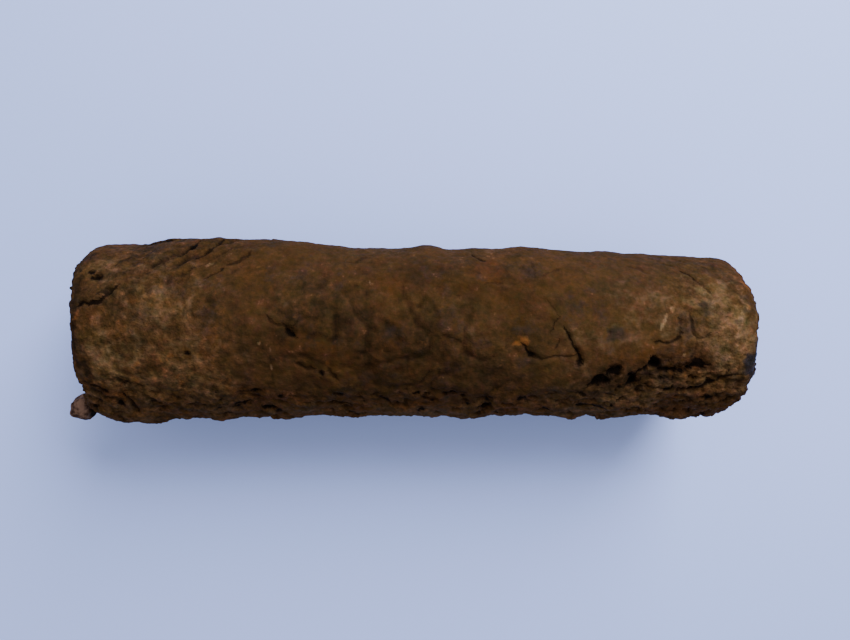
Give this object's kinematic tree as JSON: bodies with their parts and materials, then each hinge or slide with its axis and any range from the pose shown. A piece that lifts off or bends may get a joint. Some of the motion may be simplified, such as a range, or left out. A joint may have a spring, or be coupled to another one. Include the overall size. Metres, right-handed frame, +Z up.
{
  "type": "corroded pipe",
  "caption": "Short length of corroded iron pipe, open right through, with a thick uneven rust crust and a small stone cemented to its end",
  "frame": {"origin": "below the middle of the whole, on the surface that the pipe lies on", "axes": "+X along the pipe towards its square end, +Z up, +Y to the side that faces away in the picture"},
  "size_m": [0.1942, 0.0548, 0.0512],
  "materials": {
    "rusted_iron": "wasted iron under thick brown rust and dried earth, matt and gritty",
    "pebble": "worn grey-brown pebble, slightly glassy, stained by rust"
  },
  "bodies": {
    "root": {"corroded_pipe": "rusted_iron", "cemented_stone": "pebble"}
  },
  "joints": []
}
